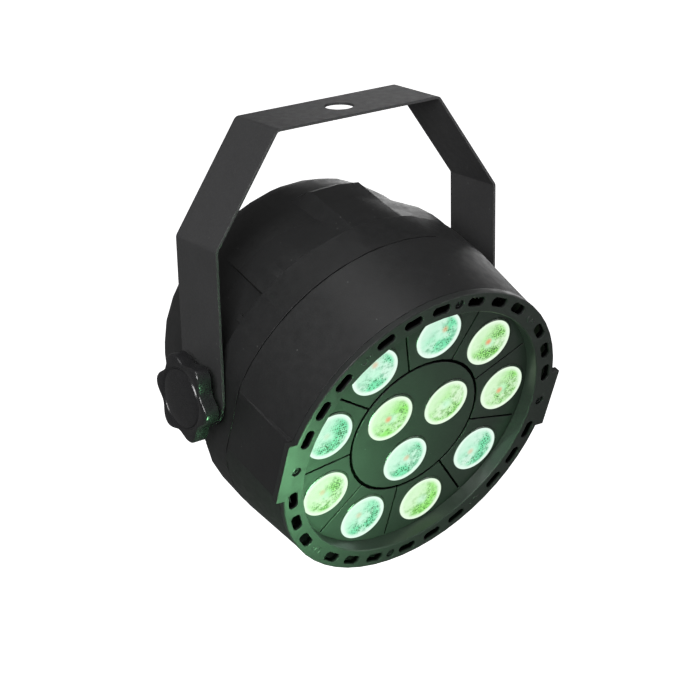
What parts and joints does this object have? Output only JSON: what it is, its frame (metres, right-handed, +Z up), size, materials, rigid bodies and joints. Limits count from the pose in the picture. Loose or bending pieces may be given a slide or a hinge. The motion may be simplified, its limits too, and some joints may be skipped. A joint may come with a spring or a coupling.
{
  "type": "led par can light",
  "caption": "Round theatre wash light with a field of round lenses behind a slotted ring, hung from a folded strap bracket with two clamping knobs.",
  "frame": {"origin": "centre of the hanging hole, on the upper face of the bracket", "axes": "+Z up, the lamp faces -Y and 18 degrees down, +X along the tilt axis"},
  "size_m": [0.1762, 0.1516, 0.2043],
  "materials": {
    "powder_coat": "fine-textured powder coat on steel",
    "black_plastic": "fine spark-eroded texture, soft sheen",
    "face_plastic": "satin",
    "knob_plastic": "glossy",
    "lens_plastic": "clear, with a fine cell pattern",
    "smoked_window": "smoked, glossy",
    "zinc_steel": "zinc plated",
    "black_steel": "black plated",
    "aluminium": "bare extrusion",
    "white_board": "white solder mask",
    "green_board": "green solder mask",
    "ferrite": "dark grey ferrite with taped windings",
    "component": "moulded black",
    "soft_rubber": "matte",
    "wire": "PVC insulation"
  },
  "bodies": {
    "yoke": {"bracket": "powder_coat"},
    "head": {"front_housing": "black_plastic", "rear_housing": "black_plastic", "front_bezel": "face_plastic", "bezel_screw_1": "black_steel", "bezel_screw_2": "black_steel", "bezel_screw_3": "black_steel", "bezel_screw_4": "black_steel", "lens_panel": "face_plastic", "lens_01": "lens_plastic", "lens_02": "lens_plastic", "lens_03": "lens_plastic", "lens_04": "lens_plastic", "lens_05": "lens_plastic", "lens_06": "lens_plastic", "lens_07": "lens_plastic", "lens_08": "lens_plastic", "lens_09": "lens_plastic", "lens_10": "lens_plastic", "lens_11": "lens_plastic", "lens_12": "lens_plastic", "led_board": "white_board", "heat_sink": "aluminium", "sink_screw_1": "zinc_steel", "sink_screw_2": "zinc_steel", "sink_screw_3": "zinc_steel", "fan_frame": "component", "fan_screw_1": "zinc_steel", "fan_screw_2": "zinc_steel", "power_board": "green_board", "transformer": "ferrite", "capacitor": "component", "led_lead": "wire", "control_board": "green_board", "rear_cover": "black_plastic", "cover_screw_1": "black_steel", "cover_screw_2": "black_steel", "cover_screw_3": "black_steel", "cover_screw_4": "black_steel", "dmx_in_socket": "black_steel", "dmx_out_socket": "black_steel", "mains_inlet": "knob_plastic", "display_window": "smoked_window", "safety_eye": "zinc_steel", "left_washer": "soft_rubber", "right_washer": "soft_rubber", "left_nut": "zinc_steel", "right_nut": "zinc_steel"},
    "left_knob": {"left_knob": "knob_plastic", "left_stud": "zinc_steel"},
    "right_knob": {"right_knob": "knob_plastic", "right_stud": "zinc_steel"},
    "fan_rotor": {"fan_rotor": "component"},
    "release_latch": {"release_latch": "knob_plastic"},
    "fuse_cap": {"fuse_cap": "knob_plastic"},
    "menu_button": {"menu_button": "soft_rubber"},
    "down_button": {"down_button": "soft_rubber"},
    "up_button": {"up_button": "soft_rubber"},
    "enter_button": {"enter_button": "soft_rubber"}
  },
  "joints": [
    {"name": "head_tilt", "type": "hinge", "parent": "yoke", "child": "head", "pos_m": [0, 0, -0.1128], "axis": [1, 0, 0], "range_deg": [-78, 70]},
    {"name": "left_knob_turn", "type": "hinge", "parent": "head", "child": "left_knob", "pos_m": [-0.077, 0, -0.1128], "axis": [-1, 0, 0], "range_deg": [0, 360]},
    {"name": "right_knob_turn", "type": "hinge", "parent": "head", "child": "right_knob", "pos_m": [0.077, 0, -0.1128], "axis": [1, 0, 0], "range_deg": [0, 360]},
    {"name": "fan_spin", "type": "hinge", "parent": "head", "child": "fan_rotor", "pos_m": [-0.00015, 0.0107, -0.11334], "axis": [0, 0.9505, 0.3107], "continuous": true},
    {"name": "latch_press", "type": "slide", "parent": "head", "child": "release_latch", "axis": [0, -0.9505, -0.3107], "range_m": [0, 0.0015], "stiffness_N_per_m": 300, "springref_m": -0.001},
    {"name": "fuse_cap_turn", "type": "hinge", "parent": "head", "child": "fuse_cap", "pos_m": [-0.02822, 0.06675, -0.12389], "axis": [0, 0.9505, 0.3107], "range_deg": [0, 90]},
    {"name": "menu_button_press", "type": "slide", "parent": "head", "child": "menu_button", "axis": [0, -0.9505, -0.3107], "range_m": [0, 0.0008], "stiffness_N_per_m": 400, "springref_m": -0.0008},
    {"name": "down_button_press", "type": "slide", "parent": "head", "child": "down_button", "axis": [0, -0.9505, -0.3107], "range_m": [0, 0.0008], "stiffness_N_per_m": 400, "springref_m": -0.0008},
    {"name": "up_button_press", "type": "slide", "parent": "head", "child": "up_button", "axis": [0, -0.9505, -0.3107], "range_m": [0, 0.0008], "stiffness_N_per_m": 400, "springref_m": -0.0008},
    {"name": "enter_button_press", "type": "slide", "parent": "head", "child": "enter_button", "axis": [0, -0.9505, -0.3107], "range_m": [0, 0.0008], "stiffness_N_per_m": 400, "springref_m": -0.0008}
  ]
}
